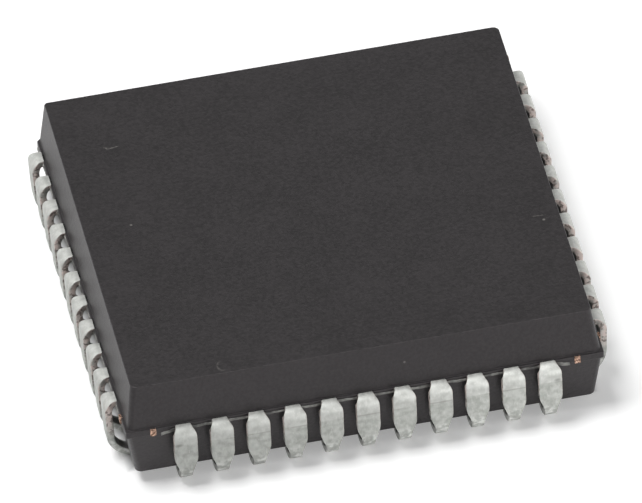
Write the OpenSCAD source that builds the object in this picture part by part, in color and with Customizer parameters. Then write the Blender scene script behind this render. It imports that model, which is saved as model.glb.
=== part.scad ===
// Plastic leaded chip carrier with J leads on four sides.
// The seating plane is z = 0 and the origin is below the middle of the body.
// Side 1 is the rear (+Y): pin 1 is its middle lead and the pins count anticlockwise from above.

/* [Leads in a row] */
// Leads on each side, an odd number so that pin 1 is in the middle of side 1
leads_per_side = 11; // [7:2:11]
// Distance between neighbouring leads
pitch = 1.27; // [1.15:0.01:1.4]
// Distance from the last lead in a row to the end of the body
row_end = 1.98; // [1.8:0.005:2.2]

/* [Body] */
// Height of the top face above the board
body_top = 4.37; // [4.19:0.01:4.57]
// Gap between the board and the underside
standoff = 0.51; // [0.45:0.01:0.65]
// Draft of the mould's walls, in degrees
draft = 7.7; // [5:0.1:10]
// How far the upper half stands in from the parting flange
upper_step = 0.085; // [0.04:0.005:0.12]
// How far the lower half stands in from the parting flange
lower_step = 0.055; // [0.04:0.005:0.15]
// Leg of the small flats on the upright corners of the two halves
corner_flat = 0.18; // [0.05:0.01:0.3]
// Leg of the flats on the flange's corners
flange_flat = 0.04; // [0.02:0.01:0.15]
// Leg of the chamfer on the pin 1 corner, measured on the flange
pin1_chamfer = 1.15; // [0.9:0.01:1.3]
// How far the bevel along side 1 cuts into the top face
side1_bevel = 0.9; // [0.6:0.01:1]
// Diameter of the shallow ejector marks on the underside
ejector_d = 2.2; // [1.5:0.1:3]
// Depth of the ejector marks
ejector_depth = 0.06; // [0.03:0.01:0.1]
// Distance of each ejector mark from the middle, along both axes
ejector_at = 4.4; // [3:0.1:5]

/* [Leads] */
// Thickness of the lead frame
frame_t = 0.254; // [0.2:0.002:0.3]
// Height of the lead frame's upper face above the board
frame_top = 2.64; // [2.5:0.01:2.8]
// Straight length of a lead between the flange and its shoulder
lead_exit = 0.059; // [0.04:0.001:0.15]
// Inner radius of the shoulder
shoulder_r = 0.12; // [0.1:0.01:0.25]
// Outer radius of the foot
foot_r = 1.05; // [0.9:0.01:1.15]
// How far the leg leans in towards the board, in degrees
lean = 2; // [1:0.5:6]
// Room between the tip of the foot and the underside
tip_room = 0.07; // [0.04:0.01:0.12]
// Width of a lead where it leaves the body
neck_w = 0.54; // [0.5:0.01:0.66]
// Width of a lead at its widest
lead_w = 0.81; // [0.7:0.01:0.86]
// Width of the foot
foot_w = 0.43; // [0.4:0.01:0.53]
// Height where the full width ends and the taper begins
taper_top_z = 1.44; // [1.3:0.01:1.6]
// Height where the taper meets the foot
taper_foot_z = 0.63; // [0.5:0.01:0.9]

/* [Inner fingers] */
// Width of a finger at the body's wall
finger_w = 0.5; // [0.4:0.01:0.5]
// Width of a finger at its tip
finger_tip_w = 0.34; // [0.25:0.01:0.4]
// Distance between neighbouring finger tips
finger_tip_pitch = 0.7; // [0.62:0.01:0.76]
// Length of the finger's straight run before it turns towards the die
finger_run = 1.1; // [0.9:0.05:1.3]
// Gap between the finger tips and the die paddle
finger_gap = 0.5; // [0.35:0.05:0.8]

/* [Die paddle] */
// Width of the die paddle
paddle_w = 8; // [7.6:0.1:8.4]
// Width of the tie bars
tie_w = 0.2; // [0.15:0.01:0.25]
// Distance of a tie bar's stub from the end of the body
tie_inset = 0.94; // [0.8:0.005:1]
// How far the cut stubs stand out of the flange
stub_out = 0.05; // [0.02:0.01:0.08]

/* [Die and wires] */
// Thickness of the adhesive under the die
attach_t = 0.03; // [0.02:0.005:0.06]
// How far the adhesive runs out past the die
attach_rim = 0.15; // [0.05:0.01:0.3]
// Width of the silicon die
die_w = 5.6; // [4.8:0.1:6]
// Thickness of the silicon die
die_t = 0.35; // [0.25:0.01:0.45]
// Distance between neighbouring bond pads
pad_pitch = 0.42; // [0.36:0.01:0.44]
// Distance of the bond pads from the edge of the die
pad_inset = 0.2; // [0.12:0.01:0.3]
// Diameter of a bond wire
wire_d = 0.05; // [0.04:0.005:0.06]
// Height of a wire's loop above the die
wire_loop = 0.22; // [0.15:0.01:0.3]
// Distance of the wire's stitch from the tip of its finger
stitch_inset = 0.3; // [0.2:0.01:0.4]

/* [Hidden] */
$fn = 24;
side_names = ["rear", "left", "front", "right"];
lead_count = 4 * leads_per_side;
function two_digits(number) = str(number < 10 ? "0" : "", number);
function lead_name(pin) = str("lead_", two_digits(pin));
function wires_name(side) = str("bond_wires_", side_names[side]);

// The lead frame lies in the flange, between the upper and the lower half.
frame_low = frame_top - frame_t;
row_half = (leads_per_side - 1) / 2 * pitch;
flange_half = row_half + row_end;
function upper_half(z) = flange_half - upper_step - tan(draft) * (z - frame_top);
function lower_half(z) = flange_half - lower_step - tan(draft) * (frame_low - z);
top_half = upper_half(body_top);
bottom_half = lower_half(standoff);
beyond = 2 * flange_half;
ease_steps = 6;
turn_steps = 9;
tip_steps = 5;
// Inside the flange the two halves lap, so that the moulding is one solid.
lap_low = frame_low + 0.4 * frame_t;
lap_high = frame_low + 0.6 * frame_t;

// A lead turns down about the middle of its shoulder and back in about the middle of its foot.
outer_r = shoulder_r + frame_t;
shoulder_middle = [flange_half + lead_exit, frame_low - shoulder_r];
// The leg runs straight between the two turns, so its lean places the foot.
foot_in = (foot_r - outer_r + (shoulder_middle[1] - foot_r) * sin(lean)) / cos(lean);
foot_middle = [shoulder_middle[0] - foot_in, foot_r];
// The foot turns on until its tip is below the underside.
foot_turn = 180 - asin((foot_r - standoff + tip_room) / (foot_r - frame_t));

// Fingers, die and wires.
finger_tip_at = paddle_w / 2 + finger_gap;
finger_bend_at = flange_half - finger_run;
tie_at = flange_half - tie_inset;
die_low = frame_top + attach_t;
die_top = die_low + die_t;
stitch_at = finger_tip_at + stitch_inset;
wire_foot_d = 2.4 * wire_d;
wire_foot_h = 1.5 * wire_d;
wire_bead_d = 1.3 * wire_d;

mould_colour = [0.23, 0.22, 0.23];
tin_colour = [0.74, 0.75, 0.73];
copper_colour = [0.72, 0.45, 0.33];
adhesive_colour = [0.8, 0.8, 0.76];
silicon_colour = [0.35, 0.37, 0.42];
gold_colour = [0.85, 0.68, 0.3];

// Pins count anticlockwise from the middle of side 1, so a row runs from + to - along its side.
function turn_of(pin) = floor((pin - 1 + (leads_per_side - 1) / 2) / leads_per_side) % 4;
function place_of(pin) = (pin - 1 + (leads_per_side - 1) / 2) % leads_per_side;
function step_of(place) = (leads_per_side - 1) / 2 - place;

// A long slab along Y with leaning walls: low and high are [height, -X wall, +X wall].
module leaning_slab(low, high) {
  rotate([90, 0, 0])
    linear_extrude(height = 2 * beyond, center = true)
      polygon([[low[1], low[0]], [low[2], low[0]], [high[2], high[0]], [high[1], high[0]]]);
}

// Distance from the middle to a plain corner's flat and to the pin 1 chamfer, where the walls are at half.
function flat_at(half, flat) = sqrt(2) * half - flat / sqrt(2);
function chamfer_at(half) = (2 * flange_half - pin1_chamfer) / sqrt(2) - (flange_half - half);

// A square block with leaning walls, small flats on its corners and the pin 1 chamfer.
module mould_block(z_low, half_low, z_high, half_high, flat) {
  flat_low = flat_at(half_low, flat);
  flat_high = flat_at(half_high, flat);
  intersection() {
    leaning_slab([z_low, -half_low, half_low], [z_high, -half_high, half_high]);
    rotate(90) leaning_slab([z_low, -half_low, half_low], [z_high, -half_high, half_high]);
    rotate(45) leaning_slab([z_low, -flat_low, flat_low], [z_high, -flat_high, flat_high]);
    rotate(135)
      leaning_slab([z_low, -flat_low, chamfer_at(half_low)], [z_high, -flat_high, chamfer_at(half_high)]);
  }
}

// What the bevel along side 1 takes off the upper half.
module side1_bevel_cut() {
  bevel_y = top_half - side1_bevel;
  rotate([90, 0, 90])
    linear_extrude(height = 2 * beyond, center = true)
      polygon([[bevel_y, body_top], [bevel_y + body_top, body_top], [bevel_y + body_top, 0]]);
}

module ejector_marks() {
  for (side = [-1, 1])
    translate([side * ejector_at, side * ejector_at, standoff - 1])
      cylinder(d = ejector_d, h = 1 + ejector_depth, $fn = 48);
}

// The part of a lead inside the body, drawn with the lead pointing along +Y.
module finger(place, end_at) {
  x = step_of(place) * pitch;
  tip_x = step_of(place) * finger_tip_pitch;
  translate([0, 0, frame_low])
    linear_extrude(height = frame_t)
      polygon([
        [x - finger_w / 2, end_at], [x + finger_w / 2, end_at],
        [x + finger_w / 2, finger_bend_at], [tip_x + finger_tip_w / 2, finger_tip_at],
        [tip_x - finger_tip_w / 2, finger_tip_at], [x - finger_w / 2, finger_bend_at]
      ]);
}

// The angles of the shoulder's turn, and of the foot's turn down to the board and on to its tip.
shoulder_angles = concat([for (i = [0:turn_steps]) 90 - 90 * i / turn_steps], [-lean]);
foot_angles = concat(
  [for (i = [0:turn_steps]) -lean - (90 - lean) * i / turn_steps],
  [for (i = [1:tip_steps]) -90 - (foot_turn - 90) * i / tip_steps]
);
function arc(middle, r, angles) = [for (angle = angles) middle + r * [cos(angle), sin(angle)]];

// The line of a lead at a depth below its outer face, from the flange to the tip of the foot.
function lead_line(depth) = concat(
  [[flange_half, frame_top - depth]],
  arc(shoulder_middle, outer_r - depth, shoulder_angles),
  arc(foot_middle, foot_r - depth, foot_angles)
);

// The J strip at full width: neck, shoulder, leaning leg and foot, in a lead's own upright plane.
module j_strip() {
  inner = lead_line(frame_t);
  back = [for (i = [len(inner) - 1:-1:0]) inner[i]];
  rotate([90, 0, 90])
    linear_extrude(height = lead_w, center = true) polygon(concat(lead_line(0), back));
}

// An eased line of points between two widths, and a plate with that line on both its edges.
function eased(from, to) = [
  for (i = [0:ease_steps]) let (share = (1 - cos(180 * i / ease_steps)) / 2)
    [from[0] + (to[0] - from[0]) * share, from[1] + (to[1] - from[1]) * i / ease_steps]
];
module outline_plate(edge) {
  other = [for (i = [len(edge) - 1:-1:0]) [-edge[i][0], edge[i][1]]];
  linear_extrude(height = 2 * beyond, center = true) polygon(concat(edge, other));
}

// The outline of the leg and foot, seen from in front of the lead.
module leg_outline() {
  taper = eased([foot_w / 2, taper_foot_z], [lead_w / 2, taper_top_z]);
  rotate([90, 0, 0])
    outline_plate(concat([[foot_w / 2, 0]], taper, [[lead_w / 2, frame_top]]));
}

// The outline of the neck, seen along the slope of the shoulder's middle.
module neck_outline() {
  neck = eased([lead_w / 2, -0.42 * outer_r], [neck_w / 2, 0.92 * outer_r]);
  translate([0, shoulder_middle[0], shoulder_middle[1]])
    rotate([135, 0, 0])
      outline_plate(concat([[lead_w / 2, -beyond]], neck, [[neck_w / 2, beyond]]));
}

module lead(pin) {
  color(tin_colour)
    rotate(90 * turn_of(pin)) {
      finger(place_of(pin), flange_half + lead_exit);
      translate([step_of(place_of(pin)) * pitch, 0, 0])
        intersection() {
          j_strip();
          leg_outline();
          neck_outline();
        }
    }
}

// A tie bar along the diagonal, ending in two stubs beside the corner, or in one on the pin 1 chamfer.
module tie_bar(corner) {
  reach = corner == 0 ? chamfer_at(flange_half) + stub_out : tie_at * sqrt(2);
  stub = flange_half + stub_out - tie_at + tie_w / 2;
  rotate(135 + 90 * corner)
    translate([0, -tie_w / 2, frame_low]) cube([reach, tie_w, frame_t]);
  if (corner > 0)
    rotate(90 + 90 * corner)
      translate([tie_at - tie_w / 2, tie_at - tie_w / 2, frame_low]) {
        cube([stub, tie_w, frame_t]);
        cube([tie_w, stub, frame_t]);
      }
}

module die_paddle() {
  color(copper_colour) {
    translate([-paddle_w / 2, -paddle_w / 2, frame_low]) cube([paddle_w, paddle_w, frame_t]);
    for (corner = [0:3]) tie_bar(corner);
  }
}

module die_attach() {
  width = die_w + 2 * attach_rim;
  color(adhesive_colour)
    translate([-width / 2, -width / 2, frame_top]) cube([width, width, attach_t]);
}

module silicon_die() {
  color(silicon_colour)
    translate([-die_w / 2, -die_w / 2, die_low]) cube([die_w, die_w, die_t]);
}

// One wire from its ball on the die, up, and down to its stitch on the finger.
module bond_wire(place) {
  pad = [step_of(place) * pad_pitch, die_w / 2 - pad_inset, die_top];
  bend_share = (stitch_at - finger_tip_at) / (finger_bend_at - finger_tip_at);
  stitch_x = step_of(place) * (finger_tip_pitch + bend_share * (pitch - finger_tip_pitch));
  stitch = [stitch_x, stitch_at, frame_top];
  loop_top = pad + [0, 0, wire_loop];
  fall = stitch + [0, 0, wire_foot_h / 2] - loop_top;
  for (foot = [pad, stitch])
    translate(foot) cylinder(d = wire_foot_d, h = wire_foot_h, $fn = 16);
  translate(pad) cylinder(d = wire_d, h = wire_loop, $fn = 16);
  translate(loop_top) {
    sphere(d = wire_bead_d, $fn = 16);
    rotate([0, acos(fall[2] / norm(fall)), atan2(fall[1], fall[0])])
      cylinder(d = wire_d, h = norm(fall), $fn = 16);
  }
}

module bond_wires(side) {
  color(gold_colour)
    rotate(90 * side)
      for (place = [0:leads_per_side - 1]) bond_wire(place);
}

// The moulding, with a close pocket for everything that is moulded in.
module moulded_body() {
  color(mould_colour)
    difference() {
      union() {
        mould_block(standoff, bottom_half, lap_high, lower_half(lap_high), corner_flat);
        mould_block(frame_low, flange_half, frame_top, flange_half, flange_flat);
        difference() {
          mould_block(lap_low, upper_half(lap_low), body_top, top_half, corner_flat);
          side1_bevel_cut();
        }
      }
      ejector_marks();
      die_paddle();
      die_attach();
      silicon_die();
      for (side = [0:3]) {
        rotate(90 * side)
          for (place = [0:leads_per_side - 1]) finger(place, flange_half + lead_exit);
        bond_wires(side);
      }
    }
}

moulded_body();
die_paddle();
die_attach();
silicon_die();
for (side = [0:3])
  bond_wires(side);
for (pin = [1:lead_count])
  lead(pin);
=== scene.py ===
import math
import random

import bmesh
import bpy
from mathutils import Matrix, Vector


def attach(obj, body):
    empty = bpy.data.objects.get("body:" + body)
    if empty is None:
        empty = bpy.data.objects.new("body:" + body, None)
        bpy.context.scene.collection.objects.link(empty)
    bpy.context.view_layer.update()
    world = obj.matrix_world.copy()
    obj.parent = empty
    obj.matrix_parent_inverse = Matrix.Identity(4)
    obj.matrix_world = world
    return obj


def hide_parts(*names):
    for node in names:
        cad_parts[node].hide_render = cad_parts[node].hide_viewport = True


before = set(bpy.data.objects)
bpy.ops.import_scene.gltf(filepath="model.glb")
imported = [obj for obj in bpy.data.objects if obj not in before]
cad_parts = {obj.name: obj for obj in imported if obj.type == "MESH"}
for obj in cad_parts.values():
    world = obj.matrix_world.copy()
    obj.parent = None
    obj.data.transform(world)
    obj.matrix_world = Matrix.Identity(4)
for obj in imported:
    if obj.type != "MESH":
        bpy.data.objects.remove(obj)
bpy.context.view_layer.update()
MM = 0.001

# Sizes shared with the solids, in millimetres
PITCH = 1.27
LEADS_PER_SIDE = 11
FLANGE_HALF = 8.33
UPPER_STEP = 0.085
LOWER_STEP = 0.055
BODY_TOP = 4.37
STANDOFF = 0.51
DRAFT = math.tan(math.radians(7.7))
FRAME_T = 0.254
FRAME_TOP = 2.64
FRAME_LOW = FRAME_TOP - FRAME_T
UPPER_HALF = FLANGE_HALF - UPPER_STEP
LOWER_HALF = FLANGE_HALF - LOWER_STEP
TOP_HALF = UPPER_HALF - DRAFT * (BODY_TOP - FRAME_TOP)
BOTTOM_HALF = LOWER_HALF - DRAFT * (FRAME_LOW - STANDOFF)
CORNER_R = 0.22
FLANGE_CORNER_R = 0.07
PIN1_CHAMFER = 1.15
SIDE1_BEVEL = 0.9
EJECTOR_AT = 4.4
EJECTOR_R = 1.1
EJECTOR_DEPTH = 0.06
LEAD_EXIT = 0.059
SHOULDER_R = 0.12
FOOT_R = 1.05
LEAN = math.radians(2)
TIP_ROOM = 0.07
OUTER_R = SHOULDER_R + FRAME_T
SHOULDER_Y, SHOULDER_Z = FLANGE_HALF + LEAD_EXIT, FRAME_LOW - SHOULDER_R
FOOT_IN = (FOOT_R - OUTER_R + (SHOULDER_Z - FOOT_R) * math.sin(LEAN)) / math.cos(LEAN)
FOOT_Y, FOOT_Z = SHOULDER_Y - FOOT_IN, FOOT_R
FOOT_TURN = math.pi - math.asin((FOOT_R - STANDOFF + TIP_ROOM) / (FOOT_R - FRAME_T))
FOOT_HALF_W = 0.215
LEAD_HALF_W = 0.405
NECK_HALF_W = 0.27
TAPER_FOOT_Z, TAPER_TOP_Z = 0.63, 1.44


# Camera

IMAGE_W, IMAGE_H = 642, 503
CAMERA_AZIMUTH, CAMERA_ELEVATION, CAMERA_ROLL = (math.radians(a) for a in (-9.648, 41.767, 3.241))
CAMERA_DISTANCE = 752.65
PIXELS_PER_MM = 29.117
AIM = Vector((0, 0, 2.5))
AIM_PIXEL = (315.64, 238.12)
SENSOR_MM = 36


def make_camera():
    back = Vector((
        math.sin(CAMERA_AZIMUTH) * math.cos(CAMERA_ELEVATION),
        -math.cos(CAMERA_AZIMUTH) * math.cos(CAMERA_ELEVATION),
        math.sin(CAMERA_ELEVATION),
    ))
    level_right = (-back).cross(Vector((0, 0, 1))).normalized()
    level_down = (-back).cross(level_right)
    right = math.cos(CAMERA_ROLL) * level_right + math.sin(CAMERA_ROLL) * level_down
    down = math.cos(CAMERA_ROLL) * level_down - math.sin(CAMERA_ROLL) * level_right
    place = AIM + CAMERA_DISTANCE * back
    place -= right * (AIM_PIXEL[0] - IMAGE_W / 2) / PIXELS_PER_MM
    place -= down * (AIM_PIXEL[1] - IMAGE_H / 2) / PIXELS_PER_MM
    data = bpy.data.cameras.new("camera")
    data.sensor_width = SENSOR_MM
    data.lens = PIXELS_PER_MM * CAMERA_DISTANCE / IMAGE_W * SENSOR_MM
    camera = bpy.data.objects.new("camera", data)
    turn = Matrix((right, -down, back)).transposed().to_4x4()
    camera.matrix_world = Matrix.Translation(place * MM) @ turn
    bpy.context.scene.collection.objects.link(camera)
    bpy.context.scene.camera = camera


make_camera()


# Node helpers

class Nodes:
    """Short calls for the nodes of one tree."""

    def __init__(self, tree):
        self.tree = tree

    def add(self, kind, **settings):
        node = self.tree.nodes.new(kind)
        for key, value in settings.items():
            setattr(node, key, value)
        return node

    def put(self, socket, value):
        """Links another node's output to a socket, or sets the socket's own value."""
        if isinstance(value, bpy.types.NodeSocket):
            self.tree.links.new(value, socket)
        else:
            socket.default_value = value

    def math(self, operation, *values):
        node = self.add("ShaderNodeMath", operation=operation)
        for socket, value in zip(node.inputs, values):
            self.put(socket, value)
        return node.outputs[0]

    def largest(self, values):
        total = values[0]
        for value in values[1:]:
            total = self.math("MAXIMUM", total, value)
        return total

    def blend(self, one, two, share):
        """A sum of two values, the second with that weight and the first with the rest."""
        return self.math("ADD", self.math("MULTIPLY", one, 1 - share), self.math("MULTIPLY", two, share))

    def vector(self, operation, *values, scale=None):
        node = self.add("ShaderNodeVectorMath", operation=operation)
        for socket, value in zip(node.inputs, values):
            self.put(socket, value)
        if scale is not None:
            self.put(node.inputs["Scale"], scale)
        return node.outputs["Value" if operation == "LENGTH" else "Vector"]

    def axis(self, vector, name):
        node = self.add("ShaderNodeSeparateXYZ")
        self.put(node.inputs[0], vector)
        return node.outputs[name]

    def ramp(self, value, low, high, to_low=0.0, to_high=1.0, smooth=True):
        node = self.add("ShaderNodeMapRange", interpolation_type="SMOOTHSTEP" if smooth else "LINEAR")
        for name, item in (("Value", value), ("From Min", low), ("From Max", high),
                           ("To Min", to_low), ("To Max", to_high)):
            self.put(node.inputs[name], item)
        return node.outputs[0]

    def mix(self, share, one, two):
        node = self.add("ShaderNodeMix", data_type="RGBA")
        self.put(node.inputs["Factor"], share)
        for socket, colour in ((node.inputs[6], one), (node.inputs[7], two)):
            self.put(socket, colour if isinstance(colour, bpy.types.NodeSocket) else (*colour, 1))
        return node.outputs[2]

    def tint(self, colour, towards, mask, share):
        """The colour, moved by that share towards another one where the mask is 1."""
        return self.mix(self.math("MULTIPLY", mask, share), colour, towards)


class Surface(Nodes):
    """A material with the patterns that the surfaces here need, in millimetres."""

    def __init__(self, name):
        self.material = bpy.data.materials.new(name)
        self.material.use_nodes = True
        super().__init__(self.material.node_tree)
        self.bsdf = self.tree.nodes["Principled BSDF"]
        self.coords = self.add("ShaderNodeTexCoord")
        self.place = self.vector("SCALE", self.coords.outputs["Object"], scale=1 / MM)

    def noise(self, size_mm, detail=3.0, rough=0.5, stretch=(1, 1, 1), where=None):
        """Noise from 0 to 1 with features of about that size."""
        where = self.place if where is None else where
        scaled = self.vector("MULTIPLY", where, tuple(s / size_mm for s in stretch))
        node = self.add("ShaderNodeTexNoise")
        self.put(node.inputs["Vector"], scaled)
        self.put(node.inputs["Scale"], 1.0)
        self.put(node.inputs["Detail"], detail)
        self.put(node.inputs["Roughness"], rough)
        return node.outputs["Fac"]

    def spot(self, centre, size, angle=0.0, soft=0.5, where=None):
        """1 inside an ellipsoid at that place, turned about Z by an angle in degrees."""
        node = self.add("ShaderNodeMapping", vector_type="TEXTURE")
        self.put(node.inputs["Vector"], self.place if where is None else where)
        self.put(node.inputs["Location"], centre)
        self.put(node.inputs["Rotation"], (0, 0, math.radians(angle)))
        self.put(node.inputs["Scale"], size)
        away = self.vector("LENGTH", node.outputs[0])
        return self.ramp(away, 1.0, 1.0 - soft)

    def bump(self, height, distance_mm, strength=1.0, under=None):
        node = self.add("ShaderNodeBump")
        self.put(node.inputs["Height"], height)
        self.put(node.inputs["Distance"], distance_mm * MM)
        self.put(node.inputs["Strength"], strength)
        if under is not None:
            self.put(node.inputs["Normal"], under)
        return node.outputs[0]

    def finish(self, **sockets):
        """Fills sockets of the shader, named with _ in place of each space."""
        for name, value in sockets.items():
            self.put(self.bsdf.inputs[name.replace("_", " ")], value)
        return self.material


# Materials

GRAIN_SHARE = 0.75

# Rubs and specks on the body: place, size and turn in degrees
BODY_MARKS = (
    ((-6.19, 4.25, BODY_TOP), (0.28, 0.035, 0.1), 8),
    ((-6.42, 4.30, BODY_TOP), (0.10, 0.03, 0.1), -25),
    ((-6.35, 0.18, BODY_TOP), (0.055, 0.055, 0.1), 0),
    ((7.30, -2.85, BODY_TOP), (0.30, 0.022, 0.1), -3),
    ((7.42, -3.09, BODY_TOP), (0.06, 0.06, 0.1), 0),
    ((1.44, -8.09, 3.55), (0.06, 0.1, 0.06), 0),
)

# A hook-shaped rub: a spot with a second one taken out of it
HOOK = ((-4.80, -7.66, BODY_TOP), (0.18, 0.28, 0.1))
HOOK_HOLLOW = ((-4.74, -7.63, BODY_TOP), (0.18, 0.27, 0.2))
HOOK_SOFT = 0.3
HOOK_SHARE = 0.5

# Heights on a lead where each mark starts and where it is full; the cap is a painted highlight on the bend
HIGHLIGHT_CAP_Z = (2.07, 2.15)
SCUFF_Z = (1.15, 0.75)
CUT_Z = (1.1, 2.2)
# The specks are painted shade: dark bits on the lead sides where shade falls between the leads
SHADE_SPECK_Z = (0.9, 1.7)
# A darker line across the lead, just under the painted highlight cap
DARK_LINE_Z = 2.03
DARK_LINE_HALF = 0.05

# Smudges on the last leads of the front row: place and size
SMUDGES = (
    ((-6.60, -8.74, 2.08), (0.22, 0.2, 0.10)),
    ((6.60, -8.74, 2.12), (0.18, 0.2, 0.12)),
)
SMUDGE_SOFT = 0.9

# Painted light: the front row's leads are darker at the left end and lighter at the right end, as if lit
# from the right
ROW_END = 7.0
ROW_LIGHT_TONES = (0.82, 1.18)
FRONT_ROW_Y = (-7.8, -8.3)


def mould_material():
    """Filled epoxy: dark, finely grained by the mould, with a few pale rubs and specks."""
    s = Surface("mould_compound_matt")
    fine = s.noise(0.12, detail=3, rough=0.6)
    broad = s.noise(1.6, detail=3)
    cloud = s.noise(5.0, detail=2)
    tone = s.ramp(s.blend(broad, fine, GRAIN_SHARE), 0.32, 0.68)
    colour = s.mix(tone, (0.0030, 0.0027, 0.0028), (0.0160, 0.0143, 0.0150))
    left_over = s.math("MULTIPLY_ADD", s.spot(*HOOK_HOLLOW, soft=HOOK_SOFT), -HOOK_SHARE, HOOK_SHARE)
    hook = s.math("MULTIPLY", s.spot(*HOOK, soft=HOOK_SOFT), left_over)
    marks = s.largest([hook] + [s.spot(*mark) for mark in BODY_MARKS])
    broken = s.math("MULTIPLY", marks, s.ramp(fine, 0.3, 0.55))
    colour = s.tint(colour, (0.25, 0.24, 0.22), broken, 0.5)
    rough = s.ramp(s.blend(cloud, fine, GRAIN_SHARE), 0.3, 0.7, 0.41, 0.47)
    return s.finish(Base_Color=colour, Roughness=rough, Normal=s.bump(fine, 0.014),
                    IOR=1.51, Specular_Tint=(1.0, 0.935, 0.96, 1))


def lead_material():
    """Dull tin plate with a painted highlight cap over the bend and a darker line under it, painted shade
    specks on its sides, painted light along the front row, and bare copper where the dam bar was cut off.
    """
    s = Surface("tin_plate_satin")
    world_place = s.vector("SCALE", s.add("ShaderNodeNewGeometry").outputs["Position"], scale=1 / MM)
    mottle = s.noise(0.22, detail=4, where=world_place)
    grain = s.noise(0.07, detail=3, stretch=(1, 1, 0.35), where=world_place)
    blotch = s.noise(0.9, detail=2, where=world_place)
    fleck = s.noise(0.16, detail=2, where=world_place)
    height = s.axis(s.place, "Z")
    across = s.axis(s.coords.outputs["Normal"], "X")
    side = s.ramp(s.math("ABSOLUTE", across), 0.55, 0.85)
    colour = s.mix(s.ramp(mottle, 0.3, 0.7), (0.36, 0.37, 0.345), (0.53, 0.54, 0.515))
    colour = s.tint(colour, (0.74, 0.74, 0.72), s.ramp(grain, 0.5, 0.75), 0.3)
    # Painted highlight: a lighter cap over the bend, where the light shines on the tin
    painted_highlight_cap = s.ramp(s.math("MULTIPLY_ADD", blotch, 0.12, height), *HIGHLIGHT_CAP_Z)
    colour = s.tint(colour, (0.80, 0.80, 0.78), painted_highlight_cap, 0.2)
    scuffs = s.math("MULTIPLY", s.ramp(height, *SCUFF_Z), s.ramp(mottle, 0.48, 0.62))
    colour = s.tint(colour, (0.82, 0.82, 0.80), scuffs, 0.5)
    # A darker line across the lead, just under the painted highlight cap
    off_line = s.math("ABSOLUTE", s.math("SUBTRACT", height, DARK_LINE_Z))
    line = s.math("MULTIPLY", s.ramp(off_line, DARK_LINE_HALF, 0.0), s.ramp(blotch, 0.42, 0.62))
    colour = s.tint(colour, (0.24, 0.23, 0.21), line, 0.45)
    cut = s.math("MULTIPLY", side, s.ramp(height, *CUT_Z))
    cut = s.math("MULTIPLY", cut, s.ramp(mottle, 0.30, 0.6))
    colour = s.tint(colour, (0.72, 0.60, 0.56), cut, 0.75)
    # Painted shade: dark specks on the sides of the leads, where shade falls between them
    painted_shade_specks = s.math("MULTIPLY", side, s.ramp(fleck, 0.52, 0.62))
    painted_shade_specks = s.math("MULTIPLY", painted_shade_specks, s.ramp(height, *SHADE_SPECK_Z))
    colour = s.tint(colour, (0.10, 0.075, 0.065), painted_shade_specks, 0.7)
    smudges = s.largest([s.spot(*smudge, soft=SMUDGE_SOFT, where=world_place) for smudge in SMUDGES])
    colour = s.tint(colour, (0.17, 0.17, 0.155), smudges, 0.6)
    # Painted light: a colour ramp along the front row in place of light from the right
    painted_light_drift = s.ramp(s.axis(world_place, "X"), -ROW_END, ROW_END, *ROW_LIGHT_TONES, smooth=False)
    in_front = s.ramp(s.axis(world_place, "Y"), *FRONT_ROW_Y)
    tone = s.math("ADD", 1.0, s.math("MULTIPLY", in_front, s.math("SUBTRACT", painted_light_drift, 1.0)))
    colour = s.vector("SCALE", colour, scale=tone)
    rough = s.ramp(mottle, 0.3, 0.7, 0.56, 0.70)
    normal = s.bump(mottle, 0.02, 0.35, s.bump(grain, 0.008, 0.3))
    return s.finish(Base_Color=colour, Roughness=rough, Normal=normal, Metallic=0.75)


def copper_material():
    s = Surface("cut_copper")
    mottle = s.noise(0.08, detail=2)
    colour = s.mix(s.ramp(mottle, 0.38, 0.62), (0.16, 0.085, 0.055), (0.74, 0.50, 0.38))
    rough = s.ramp(mottle, 0.3, 0.7, 0.4, 0.6)
    return s.finish(Base_Color=colour, Roughness=rough, Normal=s.bump(mottle, 0.01, 0.5), Metallic=0.7)


def flash_material():
    s = Surface("resin_flash")
    mottle = s.noise(0.25, detail=3)
    colour = s.mix(s.ramp(mottle, 0.3, 0.7), (0.09, 0.09, 0.087), (0.36, 0.36, 0.34))
    rough = s.ramp(mottle, 0.3, 0.7, 0.4, 0.6)
    return s.finish(Base_Color=colour, Roughness=rough, Normal=s.bump(mottle, 0.01, 0.4))


def inner_material(name, dark, light, size_mm, rough, metallic):
    s = Surface(name)
    mottle = s.noise(size_mm, detail=3)
    colour = s.mix(s.ramp(mottle, 0.3, 0.7), dark, light)
    roughness = s.ramp(mottle, 0.3, 0.7, rough, rough + 0.12)
    normal = s.bump(mottle, 0.005, 0.3)
    return s.finish(Base_Color=colour, Roughness=roughness, Normal=normal, Metallic=metallic)


MOULD = mould_material()
TIN = lead_material()
COPPER = copper_material()
FLASH = flash_material()
ADHESIVE = inner_material("silver_adhesive", (0.42, 0.41, 0.37), (0.62, 0.61, 0.56), 0.2, 0.45, 0.3)
SILICON = inner_material("polished_silicon", (0.07, 0.075, 0.10), (0.12, 0.12, 0.16), 0.8, 0.15, 0.4)
GOLD = inner_material("gold_wire_bright", (0.70, 0.42, 0.10), (0.84, 0.56, 0.18), 0.1, 0.2, 1.0)


# Mesh helpers

def new_piece(name, mesh_data, material, slot, *nodes, place=None):
    piece = bpy.data.objects.new(name, mesh_data)
    bpy.context.scene.collection.objects.link(piece)
    if place is not None:
        piece.matrix_world = place
    if not mesh_data.materials:
        mesh_data.materials.append(material)
    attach(piece, "root")
    if nodes:
        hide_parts(*nodes)
    return piece


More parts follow.
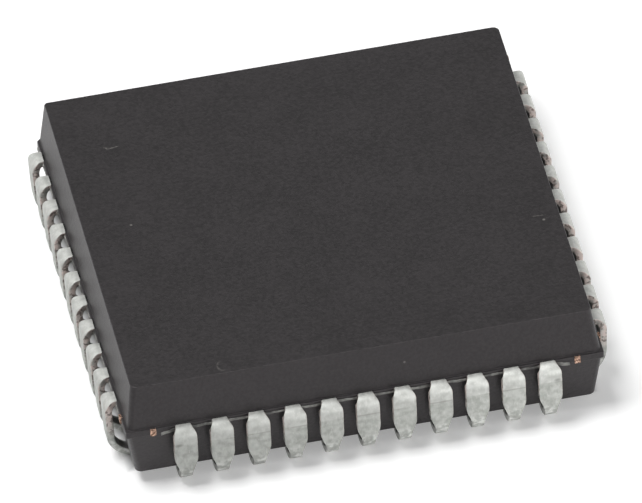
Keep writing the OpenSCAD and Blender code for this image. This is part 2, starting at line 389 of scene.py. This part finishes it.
def loft(bm, rings):
    """Joins rings of points, each a closed loop, into a skin with closed ends."""
    loops = [[bm.verts.new(point * MM) for point in ring] for ring in rings]
    for one, two in zip(loops, loops[1:]):
        count = len(one)
        for i in range(count):
            bm.faces.new((one[i], one[(i + 1) % count], two[(i + 1) % count], two[i]))
    bm.faces.new(loops[0][::-1])
    bm.faces.new(loops[-1])


def to_mesh(bm, name, sharp_angle):
    """Turns the finished skin into a mesh, smooth apart from edges past that angle in degrees."""
    bmesh.ops.recalc_face_normals(bm, faces=bm.faces)
    for face in bm.faces:
        face.smooth = True
    data = bpy.data.meshes.new(name)
    bm.to_mesh(data)
    bm.free()
    data.set_sharp_from_angle(angle=math.radians(sharp_angle))
    return data


def flat_normals(piece):
    """Keeps the large flat faces flat beside their rounded edges."""
    weighted = piece.modifiers.new("weighted_normals", "WEIGHTED_NORMAL")
    weighted.keep_sharp = True


def round_off(points, radii, steps):
    """A line of 2-D points with each inner corner replaced by an arc of that radius."""
    line = [points[0]]
    for i in range(1, len(points) - 1):
        before, here, after = (Vector(p) for p in points[i - 1:i + 2])
        one, two = (before - here).normalized(), (after - here).normalized()
        half_angle = math.acos(max(-1.0, min(1.0, one.dot(two)))) / 2
        reach = radii[i] / math.tan(half_angle)
        centre = here + (one + two).normalized() * radii[i] / math.sin(half_angle)
        start, end = here + one * reach - centre, here + two * reach - centre
        for k in range(steps + 1):
            spoke = start.lerp(end, k / steps)
            line.append(tuple(centre + spoke.normalized() * radii[i]))
    line.append(points[-1])
    return line


# Moulding

ARC_STEPS = 6
TOP_FILLET = 0.03
BOTTOM_FILLET = 0.05
FLANGE_FILLET = 0.025
STEP_FILLET = 0.02
FILLET_STEPS = 4
CAP_MARGIN = 1
BODY_SHARP = 40
BEVEL_Z = BODY_TOP - SIDE1_BEVEL / (1 - DRAFT)
EJECTOR_STEPS = 64
EJECTOR_START = STANDOFF - 1


def body_outline(half, z):
    """The body's outline at one height: round corners, the pin 1 chamfer and the bevel along side 1."""
    rear = min(half, TOP_HALF - SIDE1_BEVEL + BODY_TOP - z)
    on_flange = max(0.0, (half - UPPER_HALF) / (FLANGE_HALF - UPPER_HALF))
    radius = CORNER_R + (FLANGE_CORNER_R - CORNER_R) * on_flange
    points = []
    for quarter in range(4):
        towards = math.pi / 4 + quarter * math.pi / 2
        x, y = (math.copysign(1, math.cos(towards)), math.copysign(1, math.sin(towards)))
        if (x, y) == (-1, 1):
            run = 2 * FLANGE_HALF - PIN1_CHAMFER - math.sqrt(2) * (FLANGE_HALF - half) - half
            start, end = Vector((rear - half - run, rear, z)), Vector((-half, run, z))
            points += [start.lerp(end, k / ARC_STEPS) for k in range(ARC_STEPS + 1)]
            continue
        middle = Vector((x * (half - radius), (rear if y > 0 else -half) - y * radius, z))
        for k in range(ARC_STEPS + 1):
            angle = towards + math.pi / 2 * (k / ARC_STEPS - 0.5)
            points.append(middle + radius * Vector((math.cos(angle), math.sin(angle), 0)))
    return points


def cut_ejector_mark(piece, x, y):
    """Sinks one round mark into the underside."""
    angles = [2 * math.pi * k / EJECTOR_STEPS for k in range(EJECTOR_STEPS)]
    ring = [Vector((x + EJECTOR_R * math.cos(a), y + EJECTOR_R * math.sin(a), 0)) for a in angles]
    heights = (EJECTOR_START, STANDOFF + EJECTOR_DEPTH)
    bm = bmesh.new()
    loft(bm, [[point + Vector((0, 0, z)) for point in ring] for z in heights])
    cutter = bpy.data.objects.new("ejector_mark", to_mesh(bm, "ejector_mark", BODY_SHARP))
    bpy.context.scene.collection.objects.link(cutter)
    cut = piece.modifiers.new("ejector_mark", "BOOLEAN")
    cut.operation = "DIFFERENCE"
    cut.solver = "EXACT"
    cut.object = cutter
    bpy.context.view_layer.update()
    graph = bpy.context.evaluated_depsgraph_get()
    result = bpy.data.meshes.new_from_object(piece.evaluated_get(graph))
    piece.modifiers.clear()
    piece.data = result
    bpy.data.objects.remove(cutter)


def make_body():
    profile = [
        (BOTTOM_HALF - CAP_MARGIN, STANDOFF), (BOTTOM_HALF, STANDOFF), (LOWER_HALF, FRAME_LOW),
        (FLANGE_HALF, FRAME_LOW), (FLANGE_HALF, FRAME_TOP), (UPPER_HALF, FRAME_TOP),
        (TOP_HALF, BODY_TOP), (TOP_HALF - CAP_MARGIN, BODY_TOP),
    ]
    radii = [0, BOTTOM_FILLET, STEP_FILLET, FLANGE_FILLET, FLANGE_FILLET, STEP_FILLET, TOP_FILLET, 0]
    levels = round_off(profile, radii, FILLET_STEPS)[1:-1]
    above = next(i for i, level in enumerate(levels) if level[1] > BEVEL_Z)
    levels.insert(above, (UPPER_HALF - DRAFT * (BEVEL_Z - FRAME_TOP), BEVEL_Z))
    bm = bmesh.new()
    loft(bm, [body_outline(half, z) for half, z in levels])
    bmesh.ops.dissolve_degenerate(bm, dist=1e-8, edges=bm.edges)
    data = to_mesh(bm, "body_moulding", BODY_SHARP)
    piece = new_piece("body_moulding", data, MOULD, "mould_compound", "moulded_body")
    for at in (-EJECTOR_AT, EJECTOR_AT):
        cut_ejector_mark(piece, at, at)
    flat_normals(piece)


make_body()


# Leads

LEAD_ROOT = 7.9
EDGE_ROLL = 0.035
EDGE_STEPS = 3
SHOULDER_STEPS = 18
LEG_STEPS = 20
FOOT_STEPS = 30
LEAD_SHARP = 45
NECK_FROM, NECK_TO = -0.42, 0.92


def eased(value, low, high):
    share = max(0.0, min(1.0, (value - low) / (high - low)))
    return (1 - math.cos(math.pi * share)) / 2


def half_width(y, z, out_y, out_z):
    """The stamped half width: a narrow neck across the shoulder, a full leg and a tapered foot."""
    if out_y < 0:
        return FOOT_HALF_W
    taper = FOOT_HALF_W + (LEAD_HALF_W - FOOT_HALF_W) * eased(z, TAPER_FOOT_Z, TAPER_TOP_Z)
    face_y, face_z = y + out_y * FRAME_T / 2, z + out_z * FRAME_T / 2
    up_slope = ((face_z - SHOULDER_Z) - (face_y - SHOULDER_Y)) / math.sqrt(2) / OUTER_R
    return taper + (NECK_HALF_W - LEAD_HALF_W) * eased(up_slope, NECK_FROM, NECK_TO)


def turn(centre_y, centre_z, reach, start, end, steps):
    """Points on an arc with the directions away from its centre."""
    angles = [start + (end - start) * k / steps for k in range(steps + 1)]
    spokes = [(math.cos(angle), math.sin(angle)) for angle in angles]
    return [(centre_y + reach * y, centre_z + reach * z, y, z) for y, z in spokes]


def lead_path():
    """Points along the middle of the strip, from body to tip, with the way out of its outer face."""
    middle_z = FRAME_TOP - FRAME_T / 2
    path = [(LEAD_ROOT, middle_z, 0, 1), (FLANGE_HALF, middle_z, 0, 1)]
    path += turn(SHOULDER_Y, SHOULDER_Z, OUTER_R - FRAME_T / 2, math.pi / 2, -LEAN, SHOULDER_STEPS)
    foot = turn(FOOT_Y, FOOT_Z, FOOT_R - FRAME_T / 2, -LEAN, -FOOT_TURN, FOOT_STEPS)
    start, end = Vector(path[-1][:2]), Vector(foot[0][:2])
    leg = [start.lerp(end, k / LEG_STEPS) for k in range(1, LEG_STEPS)]
    path += [(*point, math.cos(LEAN), -math.sin(LEAN)) for point in leg]
    return path + foot


def lead_mesh():
    rings = []
    for y, z, out_y, out_z in lead_path():
        half = half_width(y, z, out_y, out_z)
        ring = []
        for corner, (across, out) in enumerate(((1, 1), (-1, 1), (-1, -1), (1, -1))):
            for k in range(EDGE_STEPS + 1):
                angle = math.pi / 2 * (corner + k / EDGE_STEPS)
                x = across * (half - EDGE_ROLL) + EDGE_ROLL * math.cos(angle)
                depth = out * (FRAME_T / 2 - EDGE_ROLL) + EDGE_ROLL * math.sin(angle)
                ring.append(Vector((x, y + depth * out_y, z + depth * out_z)))
        rings.append(ring)
    bm = bmesh.new()
    loft(bm, rings)
    return to_mesh(bm, "j_lead", LEAD_SHARP)


def make_leads():
    """Sets out the leads by pin number, from the middle of side 1 and on round the body."""
    data = lead_mesh()
    middle = (LEADS_PER_SIDE - 1) // 2
    for pin in range(1, 4 * LEADS_PER_SIDE + 1):
        quarter, place = divmod(pin - 1 + middle, LEADS_PER_SIDE)
        stand = Matrix.Rotation(math.pi / 2 * (quarter % 4), 4, "Z")
        stand = stand @ Matrix.Translation(Vector((middle - place, 0, 0)) * PITCH * MM)
        node = f"lead_{pin:02d}"
        piece = new_piece(f"j_{node}", data, TIN, "tin_plate", node, place=stand)
        flat_normals(piece)


make_leads()


# Flash along the parting line

FLASH_SEED = 44
FLASH_Z = 2.49
FLASH_H = 0.09
FLASH_OUT = 0.045
FLASH_ROOT = FLANGE_HALF - 0.05
FLASH_EASE = 0.01
FLASH_WANDER = 0.015
FLASH_STEPS = 8
FLASH_SHARP = 60
FLASH_END = 7.12
END_DIP = 0.12
END_THICKER = 1.5


def flash_ring(chance, x, dip, thicker):
    """One outline across the flash, with an uneven edge."""
    out = FLANGE_HALF + FLASH_OUT * chance.uniform(0.6, 1.0)
    z = FLASH_Z + chance.uniform(-FLASH_WANDER, FLASH_WANDER) - dip
    high = FLASH_H * chance.uniform(0.35, 0.55) * thicker
    eased_out = out - FLASH_EASE
    corners = ((FLASH_ROOT, 1), (eased_out, 1), (out, 0), (eased_out, -1), (FLASH_ROOT, -1))
    return [Vector((x, y, z + up * high)) for y, up in corners]


def make_flash():
    chance = random.Random(FLASH_SEED)
    middle = (LEADS_PER_SIDE - 1) / 2
    stops = [-FLASH_END] + [(k - middle) * PITCH for k in range(LEADS_PER_SIDE)] + [FLASH_END]
    bm = bmesh.new()
    for quarter in range(4):
        spin = Matrix.Rotation(math.pi / 2 * quarter, 3, "Z")
        for gap, (start, end) in enumerate(zip(stops, stops[1:])):
            at_end = gap in (0, LEADS_PER_SIDE)
            thicker = END_THICKER if at_end else 1.0
            rings = []
            for k in range(FLASH_STEPS + 1):
                share = k / FLASH_STEPS
                past_lead = 1 - share if gap == 0 else share
                dip = END_DIP * past_lead ** 2 if at_end else 0.0
                ring = flash_ring(chance, start + (end - start) * share, dip, thicker)
                rings.append([spin @ point for point in ring])
            loft(bm, rings)
    new_piece("mould_flash", to_mesh(bm, "mould_flash", FLASH_SHARP), FLASH, "mould_compound")


make_flash()


# Pieces that stay as the solids are

KEPT = {"die_paddle": COPPER, "die_attach": ADHESIVE, "silicon_die": SILICON}
KEPT.update({f"bond_wires_{side}": GOLD for side in ("rear", "left", "front", "right")})
for node_name, kept_material in KEPT.items():
    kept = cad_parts[node_name]
    kept.data.materials.clear()
    kept.data.materials.append(kept_material)


# Floor and light, in metres and watts

FLOOR_HALF = 1.5
FLOOR_COLOUR = 0.6
FLOOR_SHOWN = 0.82
FLOOR_PAINTED_SHADOW = 0.4
FLOOR_GLOW = 0.30
SKY_LOW, SKY_HIGH = 0.15, 0.8
HORIZON_STRENGTH = 1.0
ZENITH_STRENGTH = 0.2
AMBIENT_SHARE = 0.7
RIGHT_SHARE = 0.9

# The floor's painted shadow under the body, in millimetres
SHADOW_HALF_X = 8.1
SHADOW_HALF_Y = 7.7
SHADOW_MIDDLE_Y = 0.45
SHADOW_SOFT = 0.2


def seen_directly(nodes):
    """1 for camera, glossy and transmission rays."""
    path = nodes.add("ShaderNodeLightPath")
    rays = ("Is Camera Ray", "Is Glossy Ray", "Is Transmission Ray")
    return nodes.largest([path.outputs[name] for name in rays])


def floor_material():
    """A white floor that takes the shadow, with a painted shadow under the body: a darker colour and no
    glow there.
    """
    s = Surface("floor_white")
    seen = seen_directly(s)
    along_x = s.math("SUBTRACT", s.math("ABSOLUTE", s.axis(s.place, "X")), SHADOW_HALF_X)
    from_middle = s.math("ABSOLUTE", s.math("SUBTRACT", s.axis(s.place, "Y"), SHADOW_MIDDLE_Y))
    along_y = s.math("SUBTRACT", from_middle, SHADOW_HALF_Y)
    # Painted shadow: under the body the floor gets a darker colour and no glow
    open_floor = s.ramp(s.largest([along_x, along_y]), -SHADOW_SOFT, SHADOW_SOFT, smooth=False)
    shown = s.math("MULTIPLY_ADD", open_floor, FLOOR_SHOWN - FLOOR_PAINTED_SHADOW, FLOOR_PAINTED_SHADOW)
    colour = s.mix(seen, (FLOOR_COLOUR,) * 3, shown)
    glow = s.math("MULTIPLY", s.math("MULTIPLY", open_floor, FLOOR_GLOW), seen)
    return s.finish(Base_Color=colour, Roughness=1.0, Specular_IOR_Level=0.0,
                    Emission_Color=(1, 1, 1, 1), Emission_Strength=glow)


def make_floor():
    data = bpy.data.meshes.new("floor")
    corners = [(x * FLOOR_HALF, y * FLOOR_HALF, 0) for x, y in ((-1, -1), (1, -1), (1, 1), (-1, 1))]
    data.from_pydata(corners, [], [(0, 1, 2, 3)])
    data.materials.append(floor_material())
    floor = bpy.data.objects.new("floor", data)
    bpy.context.scene.collection.objects.link(floor)


def make_world():
    """White around the horizon, brighter to the right, and darker overhead as under a studio's ceiling."""
    world = bpy.data.worlds.new("studio")
    bpy.context.scene.world = world
    world.use_nodes = True
    w = Nodes(world.node_tree)
    background = w.tree.nodes["Background"]
    towards = w.add("ShaderNodeTexCoord").outputs["Generated"]
    up = w.axis(towards, "Z")
    sky = w.ramp(up, SKY_LOW, SKY_HIGH, HORIZON_STRENGTH, ZENITH_STRENGTH, smooth=False)
    share = w.ramp(seen_directly(w), 0.0, 1.0, AMBIENT_SHARE, 1.0, smooth=False)
    tilt = w.math("MULTIPLY_ADD", w.axis(towards, "X"), RIGHT_SHARE, 1.0)
    strength = w.math("MULTIPLY", w.math("MULTIPLY", sky, share), tilt)
    w.put(background.inputs["Color"], (1, 1, 1, 1))
    w.put(background.inputs["Strength"], strength)


def make_lamp(name, place, size, watts, only_shine=False):
    """A square lamp that faces the origin; one that only shines lights no diffuse surface."""
    data = bpy.data.lights.new(name, "AREA")
    data.shape = "SQUARE"
    data.size = size
    data.energy = watts
    lamp = bpy.data.objects.new(name, data)
    lamp.location = place
    lamp.rotation_euler = Vector(place).to_track_quat("Z", "Y").to_euler()
    lamp.visible_diffuse = not only_shine
    bpy.context.scene.collection.objects.link(lamp)


make_floor()
make_world()
make_lamp("key", (-0.175, 0.02, 0.57), size=0.24, watts=3.0)
make_lamp("front_fill", (0.22, -0.42, 0.22), size=0.30, watts=1.1, only_shine=True)
make_lamp("rear_left", (-0.36, 0.44, 0.19), size=0.40, watts=0.9, only_shine=True)

bpy.context.scene.view_settings.view_transform = "Standard"
